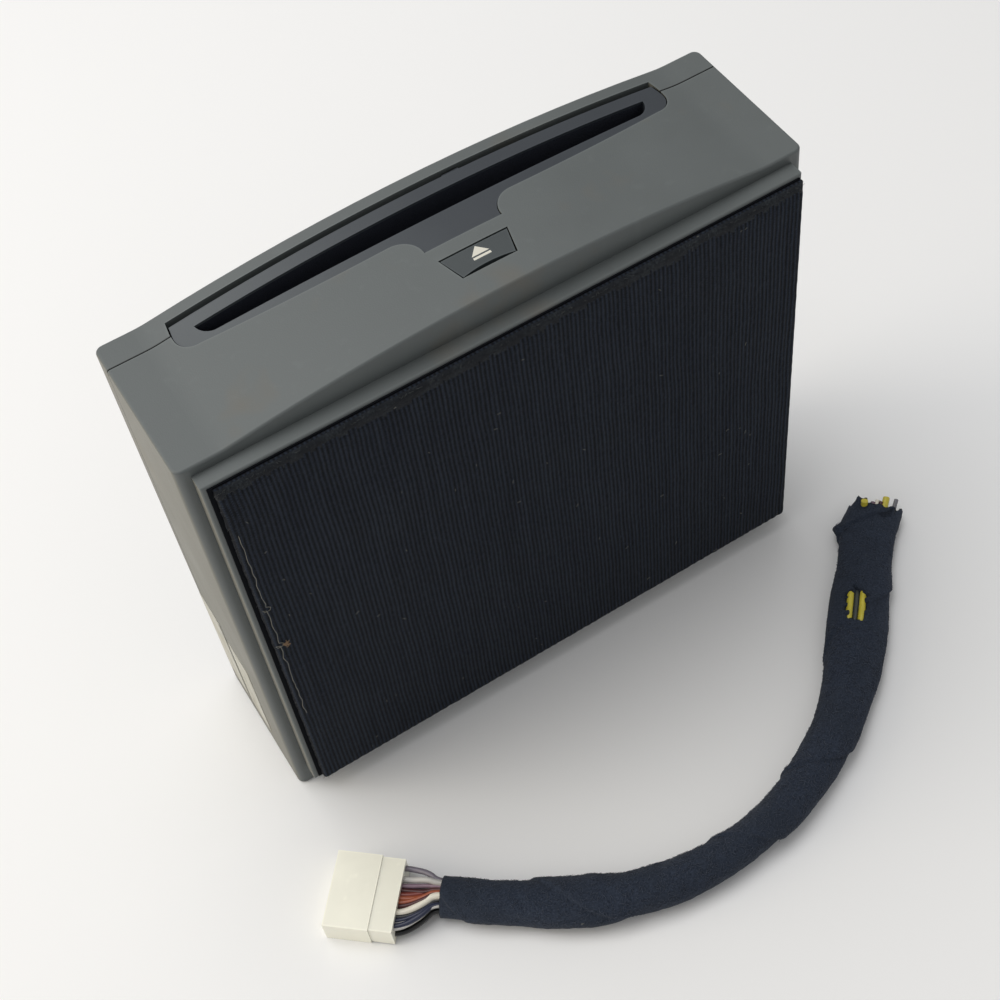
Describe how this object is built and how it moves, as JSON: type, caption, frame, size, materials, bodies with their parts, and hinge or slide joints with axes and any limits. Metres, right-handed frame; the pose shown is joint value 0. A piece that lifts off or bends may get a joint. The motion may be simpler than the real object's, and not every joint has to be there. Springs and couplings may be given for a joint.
{
  "type": "slot-loading disc player",
  "caption": "Slot-loading car disc player standing on its rear end, with a hook-tape underside and a taped wiring harness lying beside it.",
  "frame": {"origin": "middle of the player's rear end where it stands, without the loose harness", "axes": "+Z out of the rear end towards the disc slot, +Y towards the player's top cover, +X along its width to the right as seen from the hook-tape side"},
  "size_m": [0.2188, 0.1443, 0.1641],
  "materials": {
    "case_grey": "fine moulded grain, scuffed",
    "insert_blue_grey": "fine moulded grain",
    "key_grey": "fine moulded grain",
    "symbol_cream": "printed, matt",
    "adhesive_film": "soft, dull",
    "hook_tape": "ribbed woven hooks with lint",
    "label_white": "paper label, satin",
    "steel_sheet": "zinc-plated",
    "steel_pin": "ground",
    "screw_steel": "dull zinc",
    "black_plastic": "moulded",
    "white_plastic": "moulded acetal",
    "damper_rubber": "soft",
    "roller_rubber": "ground",
    "felt_black": "short felt",
    "aluminium_plate": "turned",
    "lens_glass": "coated lens",
    "bronze": "sintered",
    "contact_metal": "plated",
    "board_green": "solder mask",
    "can_metal": "sleeved can",
    "ribbon_amber": "polyimide flex",
    "plug_cream": "moulded, slightly yellowed",
    "tape_fleece": "wound fleece tape",
    "wire_mixed": "insulation in several colours"
  },
  "bodies": {
    "unit": {"upper_shell": "case_grey", "lower_shell": "case_grey", "slot_insert": "insert_blue_grey", "slot_felts": "felt_black", "hook_film": "adhesive_film", "hook_pad": "hook_tape", "label_upper": "label_white", "label_lower": "label_white", "case_screws": "screw_steel", "deck_chassis": "steel_sheet", "inner_screws": "screw_steel", "top_plate": "steel_sheet", "disc_guide": "black_plastic", "hinge_pin": "steel_pin", "cam_rivets": "steel_pin", "traverse_plate": "black_plastic", "dampers": "damper_rubber", "damper_screws": "screw_steel", "guide_rods": "steel_pin", "spindle_motor": "steel_sheet", "sled_motor": "steel_sheet", "roller_bushes": "bronze", "gear_pins": "steel_pin", "loading_motor": "steel_sheet", "main_board": "board_green", "chips": "black_plastic", "capacitors": "can_metal", "rear_socket": "black_plastic", "socket_pins": "contact_metal", "deck_connector": "white_plastic", "deck_ribbon": "ribbon_amber", "switch_board": "board_green", "switch_body": "black_plastic", "plug_housing": "plug_cream", "plug_cover": "plug_cream", "plug_contacts": "contact_metal", "plug_wires": "wire_mixed", "harness_loom": "tape_fleece", "wire_ends": "wire_mixed"},
    "eject_button": {"eject_key": "key_grey", "eject_symbol": "symbol_cream", "switch_plunger": "white_plastic"},
    "roller": {"feed_roller": "roller_rubber", "roller_shaft": "steel_pin", "roller_gear": "white_plastic"},
    "second_gear": {"gear_two": "white_plastic"},
    "first_gear": {"gear_one": "white_plastic"},
    "pinion": {"loading_pinion": "bronze", "loading_shaft": "steel_pin"},
    "spindle": {"turntable": "aluminium_plate", "turntable_ring": "roller_rubber", "spindle_shaft": "steel_pin"},
    "sled": {"pickup_sled": "aluminium_plate", "lens_holder": "black_plastic", "lens": "lens_glass"},
    "screw": {"lead_screw": "steel_pin"},
    "arm": {"clamp_arm": "black_plastic"},
    "puck": {"clamper": "white_plastic"},
    "cam": {"cam_slider": "steel_sheet"}
  },
  "joints": [
    {"name": "eject_press", "type": "slide", "parent": "unit", "child": "eject_button", "axis": [0, 0, -1], "range_m": [0, 0.0008], "stiffness_N_per_m": 900, "springref_m": -0.0006},
    {"name": "roller_spin", "type": "hinge", "parent": "unit", "child": "roller", "pos_m": [0, 0.0108, 0.1435], "axis": [1, 0, 0], "continuous": true},
    {"name": "second_gear_spin", "type": "hinge", "parent": "unit", "child": "second_gear", "pos_m": [-0.0733, 0.0063, 0.13571], "axis": [1, 0, 0], "continuous": true},
    {"name": "first_gear_spin", "type": "hinge", "parent": "unit", "child": "first_gear", "pos_m": [-0.0733, 0.01155, 0.12661], "axis": [1, 0, 0], "continuous": true},
    {"name": "pinion_spin", "type": "hinge", "parent": "unit", "child": "pinion", "pos_m": [-0.0758, 0.0063, 0.11752], "axis": [1, 0, 0], "continuous": true},
    {"name": "spindle_spin", "type": "hinge", "parent": "unit", "child": "spindle", "pos_m": [0, 0.0144, 0.082], "axis": [0, 1, 0], "continuous": true},
    {"name": "sled_slide", "type": "slide", "parent": "unit", "child": "sled", "axis": [0, 0, -1], "range_m": [0, 0.034]},
    {"name": "screw_spin", "type": "hinge", "parent": "unit", "child": "screw", "pos_m": [0.028, 0.0101, 0.06], "axis": [0, 0, 1], "range_deg": [-10, 4090]},
    {"name": "clamp_hinge", "type": "hinge", "parent": "unit", "child": "arm", "pos_m": [0, 0.0201, 0.016], "axis": [1, 0, 0], "range_deg": [0, 1.66]},
    {"name": "puck_spin", "type": "hinge", "parent": "arm", "child": "puck", "pos_m": [0, 0.0206, 0.082], "axis": [0, 1, 0], "continuous": true},
    {"name": "cam_slide", "type": "slide", "parent": "unit", "child": "cam", "axis": [0, 0, 1], "range_m": [0, 0.009]}
  ],
  "couplings": [
    {"joint": "second_gear_spin", "follows": "roller_spin", "ratio": -2},
    {"joint": "first_gear_spin", "follows": "roller_spin", "ratio": 5},
    {"joint": "pinion_spin", "follows": "roller_spin", "ratio": -12.5},
    {"joint": "puck_spin", "follows": "spindle_spin", "ratio": 1},
    {"joint": "screw_spin", "follows": "sled_slide", "rad_per_m": 2094.4},
    {"joint": "clamp_hinge", "follows": "cam_slide", "rad_per_m": 3.1998}
  ]
}
